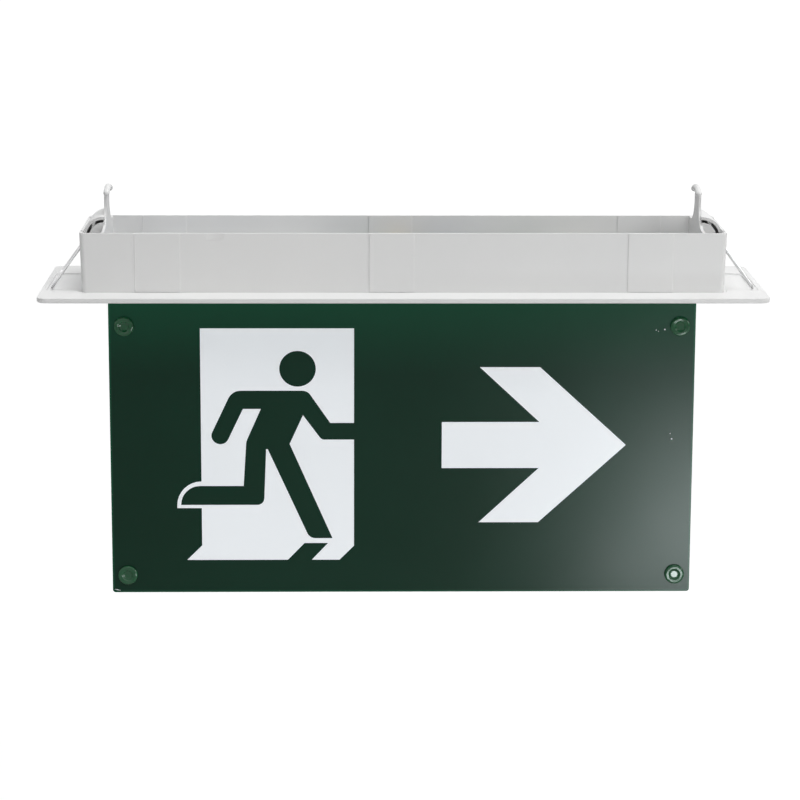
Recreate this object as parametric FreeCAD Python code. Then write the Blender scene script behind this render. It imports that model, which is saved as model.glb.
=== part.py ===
import FreeCAD, Part
import math
import os

vec = FreeCAD.Vector

# Recessed emergency exit light with a hanging legend blade. Millimetres.
# The origin is the centre of the cut-out in the ceiling plane, which is the flange's upper face.
# X runs along the sign, the front faces -Y and +Z goes up into the ceiling void.

# Shared small values
cut_margin = 1.0  # how far a cutter passes each face that it opens
root_depth = 1.0  # how far a moulded feature starts inside the floor or wall that carries it
screw_hole_clearance = 0.15
screw_slot_width = 0.6
screw_slot_depth = 0.6

# Recess tray
flange_end_reach = 20.8  # past the tray at each end
flange_side_reach = 18.0  # past the tray at the front and back
flange_thickness = 2.4
flange_corner = 5.0
flange_edge_round = 0.8
tray_length = 321.4  # outside, at the ceiling plane
tray_depth = 56.0
tray_height = 29.8
tray_draft = 0.8  # each wall leans out this much by the rim
tray_wall = 1.5
tray_corner = 2.6
wall_band_places = (-122.8, -6.0, 123.2)  # stiffer bands of both long walls
wall_band_width = 22.5
wall_band_proud = 0.25  # on each face of the wall
rim_scallop_place = -94.0
rim_scallop_width = 9.4
rim_scallop_depth = 0.5
rim_scallop_height = 3.0
seat_relief_depth = 0.3  # a step in the flange's upper face
seat_relief_margin = 1.6  # round the tray's foot, where the ceiling's cut edge comes
landing_margin = 1.6  # of the same step, round each folded bail
foot_mark_spacing = 124.0
foot_mark_radius = 4.5

# Ear plates with headed tongues
ear_end_inset = 10.7  # mid plane of each plate to the tray's end face at the ceiling plane
ear_thickness = 1.4
ear_neck_width = 15.0
ear_neck_rise = 10.5  # rim to the neck's foot
ear_neck_length = 8.6
ear_flare_reach = 20.0
ear_head_radius = 1.6
ear_head_arc_radius = 22.0
ear_head_overhang = 1.4
ear_head_inset = 0.8  # the head leans towards the middle of the tray

# Bail springs and their pockets
wire_diameter = 1.1
coil_mean_radius = 2.4
coil_turns = 3
coil_gap = 0.06
bail_width = 42.0  # between the centre lines of the two legs
bail_corner_radius = 4.0
bail_eye_wrap = 290.0  # degrees of wire round the pin
bail_flange_inset = 5.0  # cross-bar centre line to the flange's end
bail_seat_gap = 0.05
bail_pin_inset = 5.5  # pin axis to the tray's outer end face
bail_pin_depth = 4.9  # pin axis below the rim
pin_clearance = 0.1
pin_head_height = 0.8
pin_head_lip = 0.5
pocket_rib_thickness = 1.6
pocket_rib_spacing = 28.0
pocket_rib_window = 1.5
hood_thickness = 1.5
hood_sink = 4.0  # axis of the hood below the rim
slot_clearance = 0.65
slot_drop = 4.5  # slot floor below the leg at the end wall
slot_depth = 4.7  # from inside the end wall to beyond its outer face
pin_press_clearance = 0.04
pin_end_gap = 0.3
anchor_length = 12.0

# Legend blade
blade_width = 300.0
blade_drop = 161.0  # below the flange's underside
blade_corner = 1.5
legend_thickness = 1.7
guide_thickness = 5.0
guide_edge_margin = 1.0
guide_tab_inset = 1.0  # of the tab's ends from the rail's ends
guide_tab_rise = 8.0
blade_top_gap = 0.3
slot_gap = 0.5
rivet_side = 8.0
rivet_bottom = 9.4
rivet_top = 19.6
rivet_head_radius = 5.0
rivet_head_height = 1.6
rivet_rim_bulge = 0.27
rivet_crown_inset = 1.44
rivet_crown_sag = 0.08
rivet_dimple_radius = 2.3
rivet_dimple_depth = 0.9
rivet_dimple_lip = 0.25
rivet_dimple_slope = 0.6
rivet_shank_radius = 2.4
rivet_hole_clearance = 0.1
rivet_tip_gap = 0.3

# Light rail
rail_end_inset = 16.7  # to the tray's end face
rail_width = 14.0
rail_height = 13.0
rail_web = 2.0
rail_chamfer = 1.2
rail_chamber_width = 9.0
rail_jaw_height = 6.6
rail_jaw_clearance = 0.15
board_thickness = 1.2
board_width = 8.4
board_end_margin = 3.0
led_count = 16
led_length = 3.5
led_width = 2.8
led_height = 0.8
guide_screw_inset = 26.0  # of the outer screws from the rail's ends
guide_screw_height = 3.4
guide_screw_radius = 1.25
guide_screw_head_radius = 2.4
guide_screw_head_height = 1.6
guide_screw_hole_clearance = 0.1
guide_screw_tip_gap = 0.5
guide_screw_slot_depth = 0.3
hook_insets = (15.0, 100.0, 188.0, 244.0)  # from the rail's left end
hook_length = 9.0
hook_thickness = 1.5
hook_gap = 0.1
hook_barb = 1.6
hook_reach = 1.0
hook_tip_slope = 1.2

# Battery pack
cell_diameter = 14.5
cell_pack_length = 151.0
cell_pack_x = -58.0
cell_pack_wall_inset = 9.6  # axis of the cells to the front wall
cell_nub_radius = 2.8
cell_nub_length = 1.2
sleeve_round = 0.8
sleeve_end_width = 2.2
sleeve_end_depth = 0.4
sleeve_waist_width = 1.2
sleeve_waist_depth = 0.35
clip_spacing = 84.0
clip_length = 9.0
clip_thickness = 1.1
clip_opening = 70.0  # degrees
clip_foot_width = 9.0
clip_peg_radius = 1.5
clip_peg_length = 1.6
cell_clip_gap = 0.1

# Driver, control board and terminals
driver_size = (84.0, 15.0, 14.0)
driver_x = -84.0
driver_wall_gap = 2.4
driver_seat = 2.0  # height of the two bosses under its ears
driver_ear_length = 8.0
driver_ear_width = 9.0
driver_ear_thickness = 2.0
driver_round = 1.5
control_board_size = (92.0, 15.0, 1.6)
control_board_x = 20.0
control_board_wall_gap = 1.5
standoff_height = 4.0
standoff_radius = 2.2
standoff_inset = 3.2
transformer_size = (17.0, 12.0, 10.0)
transformer_inset = 24.0  # from the board's left end
bobbin_share = 0.62  # of the core's length
bobbin_proud = 0.8
core_gap = 1.0
relay_size = (15.0, 7.6, 9.5)
relay_offset = 2.0
relay_round = 0.5
capacitor_radius = 3.4
capacitor_height = 9.0
capacitor_round = 0.5
capacitor_insets = (29.0, 21.0, 13.0)  # from the board's right end
terminal_size = (30.0, 13.0, 13.0)
terminal_x = 90.0
terminal_wall_gap = 2.0
terminal_ways = 4
terminal_mouth = (4.4, 3.6)
terminal_mouth_height = 2.4  # above the floor
terminal_clamp_wall = 1.0
terminal_screw_radius = 1.8
terminal_screw_clearance = 0.25
terminal_screw_depth = 1.2  # screw top below the block's top
terminal_screw_slot = (0.7, 0.8)
terminal_notch = (0.8, 3.0)
clamp_x = 122.0
clamp_wall_gap = 0.4
clamp_length = 8.0
clamp_span = 13.8
clamp_post_radius = 2.4
clamp_post_height = 5.0
clamp_bar_thickness = 2.6
clamp_arch_radius = 3.2
clamp_arch_wall = 1.6
small_screw_radius = 1.1
small_screw_head_radius = 1.9
small_screw_head_height = 1.3
small_screw_bite = 3.0
small_screw_tip_gap = 0.2

# Test button and charge indicator, side by side under the tray's front bay
button_x = 62.0
button_wall_inset = 9.5  # axis of the button to the front wall
button_radius = 3.0
button_round = 0.6
button_stem_radius = 1.5
button_collar_lift = 0.6  # collar above the tray's floor
button_travel = 1.5
button_proud = 1.8
button_flange_radius = 4.2
button_flange_thickness = 0.8
bush_wall = 1.2
bush_lip = 1.4
bush_lip_thickness = 0.9
bush_rise = 4.6  # bush top above the tray floor
bush_lip_chamfer = 0.4
bush_cup_gap = 0.3
bush_cup_wall = 1.0
collar_gap = 0.1
button_clearance = 0.1
switch_gap = 0.1
lens_spacing = 16.0
lens_radius = 2.6
lens_dome = 1.2
lens_press_clearance = 0.05
lens_led_gap = 0.3
switch_board_size = (44.0, 12.0, 1.6)
switch_board_height = 11.4
switch_body = (6.0, 6.0, 2.6)
switch_stem_radius = 1.4
switch_stem_length = 1.2
indicator_led_radius = 1.5
indicator_led_length = 4.0
return_spring_wire = 0.7
return_spring_radius = 2.4
return_spring_turns = 4
return_spring_end_gap = 0.05

# Derived places
flange_length = tray_length + 2 * flange_end_reach
flange_depth = tray_depth + 2 * flange_side_reach
ear_spacing = tray_length - 2 * ear_end_inset
rail_length = tray_length - 2 * rail_end_inset
guide_tab_width = rail_length - 2 * guide_tab_inset
guide_screw_reach = rail_length / 2 - guide_screw_inset
guide_screw_places = (-guide_screw_reach, 0.0, guide_screw_reach)
hook_places = [inset - rail_length / 2 for inset in hook_insets]
wall_y = tray_depth / 2 - tray_wall  # inner face of the long walls at the floor
cell_pack_place = (cell_pack_x, cell_pack_wall_inset - wall_y)
driver_place = (driver_x, wall_y - driver_wall_gap - driver_size[1] / 2)
control_board_place = (control_board_x, wall_y - control_board_wall_gap - control_board_size[1] / 2)
terminal_place = (terminal_x, wall_y - terminal_wall_gap - terminal_size[1] / 2)
clamp_place = (clamp_x, wall_y - clamp_wall_gap - clamp_span / 2 - clamp_post_radius)
button_place = (button_x, button_wall_inset - wall_y)
rim_half_length = tray_length / 2 + tray_draft
rim_half_depth = tray_depth / 2 + tray_draft
flange_bottom = -flange_thickness
blade_half = blade_width / 2
legend_top = flange_bottom - blade_top_gap
legend_bottom = flange_bottom - blade_drop
blade_face = guide_thickness / 2 + legend_thickness
guide_hole = guide_thickness / 2 + slot_gap
wire_radius = wire_diameter / 2
pin_radius = coil_mean_radius - wire_radius - pin_clearance
pin_x = rim_half_length - bail_pin_inset
pin_z = tray_height - bail_pin_depth
bar_x = flange_length / 2 - bail_flange_inset
bar_z = wire_radius + bail_seat_gap
leg_y = bail_width / 2
ear_outer_x = ear_spacing / 2 + ear_thickness / 2
rib_y = pocket_rib_spacing / 2
neck_foot_z = tray_height + ear_neck_rise
screw_hole_radius = small_screw_radius + screw_hole_clearance
terminal_screw_seat = terminal_mouth_height + terminal_mouth[1] + terminal_clamp_wall
neck_top_z = neck_foot_z + ear_neck_length
jaw_half = guide_thickness / 2 + rail_jaw_clearance
rail_half = rail_width / 2
board_z = rail_height - rail_web - board_thickness
clip_axis_z = cell_diameter / 2 + cell_clip_gap + clip_thickness + 0.6


def save(shape, name):
    shape.exportStep("parts/" + name + ".step")


def box(length, depth, height, x, y, z):
    """A box centred on x and y that stands on z."""
    return Part.makeBox(length, depth, height, vec(x - length / 2, y - depth / 2, z))


def post(radius, height, x, y, z):
    return Part.makeCylinder(radius, height, vec(x, y, z), vec(0, 0, 1))


def bar_along_y(radius, length, x, y, z):
    return Part.makeCylinder(radius, length, vec(x, y, z), vec(0, 1, 0))


def bore_along_y(radius, x, near, far, z):
    """A cutter along Y that passes a little beyond both faces."""
    return bar_along_y(radius, far - near + 2 * cut_margin, x, near - cut_margin, z)


def bore_down(radius, x, y, low, high):
    """A cutter along Z that passes a little beyond both faces."""
    return post(radius, high - low + 2 * cut_margin, x, y, low - cut_margin)


def rounded_outline(length, depth, corner, z):
    a = length / 2
    b = depth / 2
    c = corner
    s = c * (1 - math.sqrt(0.5))
    edges = []
    for sx, sy in ((1, 1), (-1, 1), (-1, -1), (1, -1)):
        first = vec(sx * a, sy * (b - c), z)
        last = vec(sx * (a - c), sy * b, z)
        if sx * sy < 0:
            first, last = last, first
        middle = vec(sx * (a - s), sy * (b - s), z)
        edges.append(Part.Arc(first, middle, last).toShape())
    outline = []
    for k in range(4):
        end = edges[k].Vertexes[-1].Point
        start = edges[(k + 1) % 4].Vertexes[0].Point
        outline.append(edges[k])
        outline.append(Part.makeLine(end, start))
    return Part.Wire(outline)


def rounded_plate(length, depth, corner, z, height):
    return Part.Face(rounded_outline(length, depth, corner, z)).extrude(vec(0, 0, height))


def drafted_block(length, depth, corner, z, height, lean):
    low = rounded_outline(length, depth, corner, z)
    high = rounded_outline(length + 2 * lean, depth + 2 * lean, corner, z + height)
    return Part.makeLoft([low, high], True, True)


def profile_along_x(points, x, length):
    """A closed YZ outline, extruded from x along +X."""
    wire = Part.makePolygon([vec(x, y, z) for y, z in points + points[:1]])
    return Part.Face(wire).extrude(vec(length, 0, 0))


def mirrored(shape):
    """The same piece at the other end of the sign."""
    return shape.mirror(vec(0, 0, 0), vec(1, 0, 0))


def tray_inside_depth(z):
    return tray_depth / 2 - tray_wall + tray_draft * z / tray_height


def ear_plate():
    """One end's plate: concave flanks up to a tongue with a drooping rounded head."""
    x = ear_spacing / 2 - ear_thickness / 2
    foot = tray_inside_depth(0) + tray_wall / 2
    half = ear_neck_width / 2
    rim = tray_height
    left_low = vec(x, -foot, -flange_thickness / 2)
    right_low = vec(x, foot, -flange_thickness / 2)
    shoulder = foot - 0.2
    flank_middle_y = half + (ear_flare_reach - half) * 0.27
    flank_middle_z = rim + ear_neck_rise * 0.42
    sag = ear_head_arc_radius - math.sqrt(ear_head_arc_radius**2 - half**2)
    edges = [
        Part.makeLine(left_low, right_low),
        Part.makeLine(right_low, vec(x, shoulder, rim)),
        Part.makeLine(vec(x, shoulder, rim), vec(x, ear_flare_reach, rim)),
        Part.Arc(
            vec(x, ear_flare_reach, rim),
            vec(x, flank_middle_y, flank_middle_z),
            vec(x, half, neck_foot_z),
        ).toShape(),
        Part.makeLine(vec(x, half, neck_foot_z), vec(x, half, neck_top_z - sag)),
        Part.Arc(
            vec(x, half, neck_top_z - sag),
            vec(x, 0, neck_top_z),
            vec(x, -half, neck_top_z - sag),
        ).toShape(),
        Part.makeLine(vec(x, -half, neck_top_z - sag), vec(x, -half, neck_foot_z)),
        Part.Arc(
            vec(x, -half, neck_foot_z),
            vec(x, -flank_middle_y, flank_middle_z),
            vec(x, -ear_flare_reach, rim),
        ).toShape(),
        Part.makeLine(vec(x, -ear_flare_reach, rim), vec(x, -shoulder, rim)),
        Part.makeLine(vec(x, -shoulder, rim), left_low),
    ]
    plate = Part.Face(Part.Wire(edges)).extrude(vec(ear_thickness, 0, 0))
    return plate.fuse(ear_head())


def ear_head():
    """The tongue's head: a round bar bent down at both ends."""
    reach = ear_neck_width / 2 + ear_head_overhang
    drop = ear_head_arc_radius - math.sqrt(ear_head_arc_radius**2 - reach**2)
    x = ear_spacing / 2 - ear_head_inset
    first = vec(x, -reach, neck_top_z - drop)
    last = vec(x, reach, neck_top_z - drop)
    spine = Part.Wire([Part.Arc(first, vec(x, 0, neck_top_z), last).toShape()])
    section = Part.Wire([Part.makeCircle(ear_head_radius, first, vec(0, reach, drop + reach * 0.35))])
    bar = spine.makePipeShell([section], True, False)
    for end in (first, last):
        bar = bar.fuse(Part.makeSphere(ear_head_radius, end))
    return bar


def pocket_gusset():
    """Two ribs that carry the spring pin, joined by a quarter-round hood over the pocket."""
    inner = ear_outer_x - ear_thickness / 2
    outer = rim_half_length - tray_wall / 2
    radius = outer - ear_outer_x
    centre_z = tray_height - hood_sink
    hood_width = pocket_rib_spacing + pocket_rib_thickness
    round_bar = bar_along_y(radius, hood_width, ear_outer_x, -hood_width / 2, centre_z)
    hollow = bar_along_y(radius - hood_thickness, hood_width, ear_outer_x, -hood_width / 2, centre_z)
    keep = Part.makeBox(
        outer - inner,
        hood_width,
        radius + 1,
        vec(inner, -hood_width / 2, centre_z),
    )
    hood = round_bar.cut(hollow).common(keep)
    solid = hood
    for side in (-1, 1):
        y = side * rib_y - pocket_rib_thickness / 2
        disc = bar_along_y(radius, pocket_rib_thickness, ear_outer_x, y, centre_z)
        upper = disc.common(keep)
        web = Part.makeBox(
            outer - inner,
            pocket_rib_thickness,
            centre_z + flange_thickness / 2,
            vec(inner, y, -flange_thickness / 2),
        )
        window = bar_along_y(radius - hood_thickness, pocket_rib_thickness, ear_outer_x, y, centre_z)
        core = bar_along_y(
            radius - hood_thickness - pocket_rib_window,
            pocket_rib_thickness,
            ear_outer_x,
            y,
            centre_z,
        )
        window = window.cut(core).common(keep)
        solid = solid.fuse(upper.fuse(web).cut(window))
    return solid


def wall_bands():
    """Bands of the two long walls that are a little thicker on both faces."""
    swell = 2 * wall_band_proud
    outside = drafted_block(tray_length, tray_depth + swell, tray_corner, 0, tray_height, tray_draft)
    length = tray_length - 2 * tray_wall
    depth = tray_depth - 2 * tray_wall - swell
    inside = drafted_block(length, depth, tray_corner - tray_wall, 0, tray_height, tray_draft)
    ring = outside.cut(inside)
    bands = []
    for x in wall_band_places:
        slice_box = box(wall_band_width, tray_depth + 2 * tray_draft + 2 * swell, tray_height, x, 0, 0)
        bands.append(ring.common(slice_box))
    return bands


def seat_relief():
    """The step round the tray's foot and under both folded bails, which leaves a flat seat outside it."""
    bottom = -seat_relief_depth
    height = 2 * seat_relief_depth
    margin = 2 * seat_relief_margin
    corner = tray_corner + seat_relief_margin
    relief = rounded_plate(tray_length + margin, tray_depth + margin, corner, bottom, height)
    length = flange_length - 2 * bail_flange_inset + wire_diameter + 2 * landing_margin
    width = bail_width + wire_diameter + 2 * landing_margin
    steps = [box(length, width, height, 0, 0, bottom)]
    for sx in (-1, 1):
        for sy in (-1, 1):
            x = sx * foot_mark_spacing / 2
            steps.append(post(foot_mark_radius, height, x, sy * tray_depth / 2, bottom))
    foot = rounded_plate(tray_length, tray_depth, tray_corner, bottom, height)
    return relief.multiFuse(steps).cut(foot)


def recess_tray():
    plate = rounded_plate(flange_length, flange_depth, flange_corner, flange_bottom, flange_thickness)
    lower_edges = [e for e in plate.Edges if e.BoundBox.ZMax < flange_bottom + 0.01]
    plate = plate.makeFillet(flange_edge_round, lower_edges)
    plate = plate.cut(seat_relief())
    outside = drafted_block(tray_length, tray_depth, tray_corner, 0, tray_height, tray_draft)
    inside = drafted_block(
        tray_length - 2 * tray_wall,
        tray_depth - 2 * tray_wall,
        tray_corner - tray_wall,
        0,
        tray_height,
        tray_draft,
    )
    tray = plate.fuse(outside.cut(inside))
    additions = []
    for piece in (ear_plate(), pocket_gusset()):
        additions.append(piece)
        additions.append(mirrored(piece))
    additions += wall_bands()
    additions += floor_posts()
    additions += rail_hooks()
    tray = tray.multiFuse(additions)
    cuts = [guide_slot()]
    cuts += bail_slots()
    cuts += floor_holes()
    rib_face = rib_y + pocket_rib_thickness / 2
    pin_hole = bore_along_y(pin_radius + pin_press_clearance, pin_x, -rib_face, rib_face, pin_z)
    cuts.append(pin_hole)
    cuts.append(mirrored(pin_hole))
    cuts.append(rim_scallop())
    tray = tray.cut(Part.makeCompound(cuts))
    return tray.removeSplitter()


def guide_slot():
    return box(
        guide_tab_width + 2 * slot_gap,
        2 * guide_hole,
        flange_thickness + 2 * cut_margin,
        0,
        0,
        flange_bottom - cut_margin,
    )


def rim_scallop():
    radius = (rim_scallop_width**2 / 4 + rim_scallop_depth**2) / (2 * rim_scallop_depth)
    y = -rim_half_depth - radius + rim_scallop_depth
    bottom = tray_height - rim_scallop_height
    return post(radius, rim_scallop_height + cut_margin, rim_scallop_place, y, bottom)


def leg_direction():
    """Unit vector down one right-hand leg, tangent to its coil, and the tangent point."""
    dx = bar_x - pin_x
    dz = bar_z - pin_z
    span = math.hypot(dx, dz)
    tilt = math.atan2(dz, dx) - math.asin(coil_mean_radius / span)
    along = vec(math.cos(tilt), 0, math.sin(tilt))
    across = vec(-along.z, 0, along.x)
    start = vec(pin_x, 0, pin_z) + across * coil_mean_radius
    return along, start


def bail_slots():
    """Open notches in the end walls, so that the legs can swing up."""
    along, start = leg_direction()
    x = rim_half_length
    leg_z = start.z + along.z * (x - start.x) / along.x
    bottom = leg_z - slot_drop
    width = wire_diameter + 2 * slot_clearance
    found = []
    for side in (-1, 1):
        slot = box(
            slot_depth,
            width,
            tray_height - bottom + cut_margin,
            rim_half_length - tray_wall / 2,
            side * leg_y,
            bottom,
        )
        found.append(slot)
        found.append(mirrored(slot))
    return found


def board_ends(size, place):
    cx, cy = place
    a = size[0] / 2 - standoff_inset
    return [(cx - a, cy), (cx + a, cy)]


def driver_feet():
    x, y = driver_place
    reach = driver_size[0] / 2 + driver_ear_length / 2
    return [(x - reach, y), (x + reach, y)]


def clamp_posts():
    x, y = clamp_place
    return [(x, y - clamp_span / 2), (x, y + clamp_span / 2)]


def floor_posts():
    """Screw posts and standoffs moulded on the tray's floor."""
    posts = []
    for x, y in board_ends(control_board_size, control_board_place):
        posts.append(post(standoff_radius, standoff_height + root_depth, x, y, -root_depth))
    for x, y in driver_feet():
        posts.append(post(standoff_radius, driver_seat + root_depth, x, y, -root_depth))
    for x, y in clamp_posts():
        posts.append(post(clamp_post_radius, clamp_post_height + root_depth, x, y, -root_depth))
    for x, y in switch_posts():
        posts.append(post(standoff_radius, switch_board_height + root_depth, x, y, -root_depth))
    return posts


def floor_holes():
    holes = []
    bite = small_screw_bite
    for x, y in board_ends(control_board_size, control_board_place):
        holes.append(post(small_screw_radius, bite, x, y, standoff_height - bite))
    for x, y in driver_feet():
        holes.append(post(small_screw_radius, bite, x, y, driver_seat - bite))
    for x, y in clamp_posts():
        holes.append(post(small_screw_radius, bite, x, y, clamp_post_height - bite))
    for x, y in switch_posts():
        holes.append(post(small_screw_radius, bite, x, y, switch_board_height - bite))
    x, y = button_place
    bush_radius = button_radius + button_clearance + bush_wall
    holes.append(bore_down(bush_radius, x, y, flange_bottom, 0))
    holes.append(bore_down(lens_radius + lens_press_clearance, x + lens_spacing, y, flange_bottom, 0))
    for side in (-1, 1):
        cx = cell_pack_place[0] + side * clip_spacing / 2
        holes.append(post(clip_peg_radius, clip_peg_length, cx, cell_pack_place[1], -clip_peg_length))
    return holes


def rail_hooks():
    """Snap fingers moulded on the floor, whose barbs lie on the rail's chamfers."""
    near = rail_half + hook_gap
    far = near + hook_thickness
    chamfer_foot = rail_height - rail_chamfer + hook_gap
    top = chamfer_foot + hook_barb + hook_reach
    found = []
    for x in hook_places:
        for side in (-1, 1):
            points = [
                (side * near, -root_depth),
                (side * near, chamfer_foot),
                (side * (near - hook_reach), chamfer_foot + hook_reach),
                (side * near, top),
                (side * far, top - hook_tip_slope),
                (side * far, -root_depth),
            ]
            found.append(profile_along_x(points, x - hook_length / 2, hook_length))
    return found


def switch_posts():
    x, y = button_place
    a = switch_board_size[0] / 2 - standoff_inset
    middle = x + lens_spacing / 2
    return [(middle - a, y), (middle + a, y)]


def light_guide():
    """Clear plate with a narrower tab that reaches up into the light rail."""
    width = blade_width - 2 * guide_edge_margin
    height = legend_top - legend_bottom - guide_edge_margin
    body = box(width, guide_thickness, height, 0, 0, legend_bottom + guide_edge_margin)
    tab = box(guide_tab_width, guide_thickness, guide_tab_rise - legend_top, 0, 0, legend_top)
    plate = body.fuse(tab)
    face = guide_thickness / 2
    for x, z in rivet_places():
        plate = plate.cut(bore_along_y(rivet_shank_radius + rivet_hole_clearance, x, -face, face, z))
    screw_hole = guide_screw_radius + guide_screw_hole_clearance
    for x in guide_screw_places:
        plate = plate.cut(bore_along_y(screw_hole, x, -face, face, guide_screw_height))
    return plate.removeSplitter()


def rivet_places():
    """X and Z of the four rivets; the upper pair sits further from its edge than the lower."""
    x = blade_half - rivet_side
    top = legend_top - rivet_top
    bottom = legend_bottom + rivet_bottom
    return [(-x, top), (x, top), (-x, bottom), (x, bottom)]


def legend_panel(side):
    """One green sheet of the blade. side is -1 for the front and 1 for the rear."""
    height = legend_top - legend_bottom
    y = side * (guide_thickness / 2 + legend_thickness / 2)
    sheet = box(blade_width, legend_thickness, height, 0, y, legend_bottom)
    upright = [e for e in sheet.Edges if abs(e.BoundBox.YLength - legend_thickness) < 0.001]
    sheet = sheet.makeFillet(blade_corner, upright)
    near = y - legend_thickness / 2
    far = y + legend_thickness / 2
    for x, z in rivet_places():
        sheet = sheet.cut(bore_along_y(rivet_shank_radius + rivet_hole_clearance, x, near, far, z))
    return sheet


def push_rivets(side):
    """Four turned push rivets: a domed rim round a dimple, on a shank that stops at mid-thickness."""
    face = blade_face
    tip = rivet_tip_gap / 2
    crown = face + rivet_head_height
    r = rivet_head_radius
    floor = crown - rivet_dimple_depth
    crown_start = r - rivet_crown_inset
    dimple_foot = rivet_dimple_radius - rivet_dimple_slope
    outline = [
        Part.makeLine(vec(0, tip, 0), vec(rivet_shank_radius, tip, 0)),
        Part.makeLine(vec(rivet_shank_radius, tip, 0), vec(rivet_shank_radius, face, 0)),
        Part.makeLine(vec(rivet_shank_radius, face, 0), vec(r, face, 0)),
        Part.Arc(
            vec(r, face, 0),
            vec(r - rivet_rim_bulge, crown - rivet_rim_bulge, 0),
            vec(crown_start, crown, 0),
        ).toShape(),
        Part.Arc(
            vec(crown_start, crown, 0),
            vec((crown_start + rivet_dimple_radius) / 2, crown - rivet_crown_sag, 0),
            vec(rivet_dimple_radius, floor + rivet_dimple_lip, 0),
        ).toShape(),
        Part.makeLine(vec(rivet_dimple_radius, floor + rivet_dimple_lip, 0), vec(dimple_foot, floor, 0)),
        Part.makeLine(vec(dimple_foot, floor, 0), vec(0, floor, 0)),
        Part.makeLine(vec(0, floor, 0), vec(0, tip, 0)),
    ]
    turned = Part.Face(Part.Wire(outline)).revolve(vec(0, 0, 0), vec(0, 1, 0), 360)
    if side < 0:
        turned = turned.mirror(vec(0, 0, 0), vec(0, 1, 0))
    solids = []
    for x, z in rivet_places():
        one = turned.copy()
        one.translate(vec(x, 0, z))
        solids.append(one)
    return Part.makeCompound(solids)


def light_rail():
    """Extruded rail: two jaws hold the guide, and the chamber above them takes the LED board."""
    half = rail_half
    chamber = rail_chamber_width / 2
    top = rail_height - rail_web
    points = [
        (half, 0),
        (half, rail_height - rail_chamfer),
        (half - rail_chamfer, rail_height),
        (-half + rail_chamfer, rail_height),
        (-half, rail_height - rail_chamfer),
        (-half, 0),
        (-jaw_half, 0),
        (-jaw_half, rail_jaw_height),
        (-chamber, rail_jaw_height),
        (-chamber, top),
        (chamber, top),
        (chamber, rail_jaw_height),
        (jaw_half, rail_jaw_height),
        (jaw_half, 0),
    ]
    rail = profile_along_x(points, -rail_length / 2, rail_length)
    for x in guide_screw_places:
        rail = rail.cut(bore_along_y(guide_screw_radius, x, -half, half, guide_screw_height))
    return rail


def led_board():
    return box(rail_length - 2 * board_end_margin, board_width, board_thickness, 0, 0, board_z)


def leds():
    run = rail_length - 2 * board_end_margin
    pitch = run / led_count
    row = []
    for k in range(led_count):
        x = -run / 2 + pitch * (k + 0.5)
        row.append(box(led_length, led_width, led_height, x, 0, board_z - led_height))
    return Part.makeCompound(row)


def guide_screws():
    """Cheese-head screws across the jaws, through the guide's tab."""
    screws = []
    for x in guide_screw_places:
        shank_length = rail_width - guide_screw_tip_gap
        shank = bar_along_y(guide_screw_radius, shank_length, x, -rail_half, guide_screw_height)
        head = bar_along_y(
            guide_screw_head_radius,
            guide_screw_head_height,
            x,
            -rail_half - guide_screw_head_height,
            guide_screw_height,
        )
        slot = box(
            2 * guide_screw_head_radius + cut_margin,
            2 * guide_screw_slot_depth,
            screw_slot_width,
            x,
            -rail_half - guide_screw_head_height,
            guide_screw_height - screw_slot_width / 2,
        )
        screws.append(shank.fuse(head).cut(slot).removeSplitter())
    return Part.makeCompound(screws)


def pan_screw(radius, head_radius, head_height, shank, x, y, z):
    """A pan-head screw whose head seats on z."""
    body = post(radius, shank, x, y, z - shank)
    head = post(head_radius, head_height, x, y, z)
    rim = [e for e in head.Edges if e.BoundBox.ZMin > z + head_height - 0.01]
    head = head.makeFillet(head_height * 0.4, rim)
    slot_floor = z + head_height - screw_slot_depth
    slot = box(2 * head_radius + cut_margin, screw_slot_width, head_height, x, y, slot_floor)
    return body.fuse(head).cut(slot).removeSplitter()


def battery_pack():
    """Three cells in one shrink sleeve, with the sleeve's rolled ends and the positive nub."""
    x, y = cell_pack_place
    r = cell_diameter / 2
    half = cell_pack_length / 2
    axis = vec(1, 0, 0)
    pack = Part.makeCylinder(r, cell_pack_length, vec(x - half, y, clip_axis_z), axis)
    pack = pack.makeFillet(sleeve_round, [e for e in pack.Edges if e.BoundBox.XLength < 0.01])
    for end in (x - half - cut_margin, x + half - sleeve_end_depth):
        place = vec(end, y, clip_axis_z)
        recess = Part.makeCylinder(r - sleeve_end_width, sleeve_end_depth + cut_margin, place, axis)
        pack = pack.cut(recess)
    step = cell_pack_length / 3
    for k in (1, 2):
        place = vec(x - half + k * step - sleeve_waist_width / 2, y, clip_axis_z)
        groove = Part.makeCylinder(r + cut_margin, sleeve_waist_width, place, axis)
        core = Part.makeCylinder(r - sleeve_waist_depth, sleeve_waist_width, place, axis)
        pack = pack.cut(groove.cut(core))
    place = vec(x + half - sleeve_end_depth, y, clip_axis_z)
    nub = Part.makeCylinder(cell_nub_radius, cell_nub_length + sleeve_end_depth, place, axis)
    return pack.fuse(nub).removeSplitter()


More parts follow.
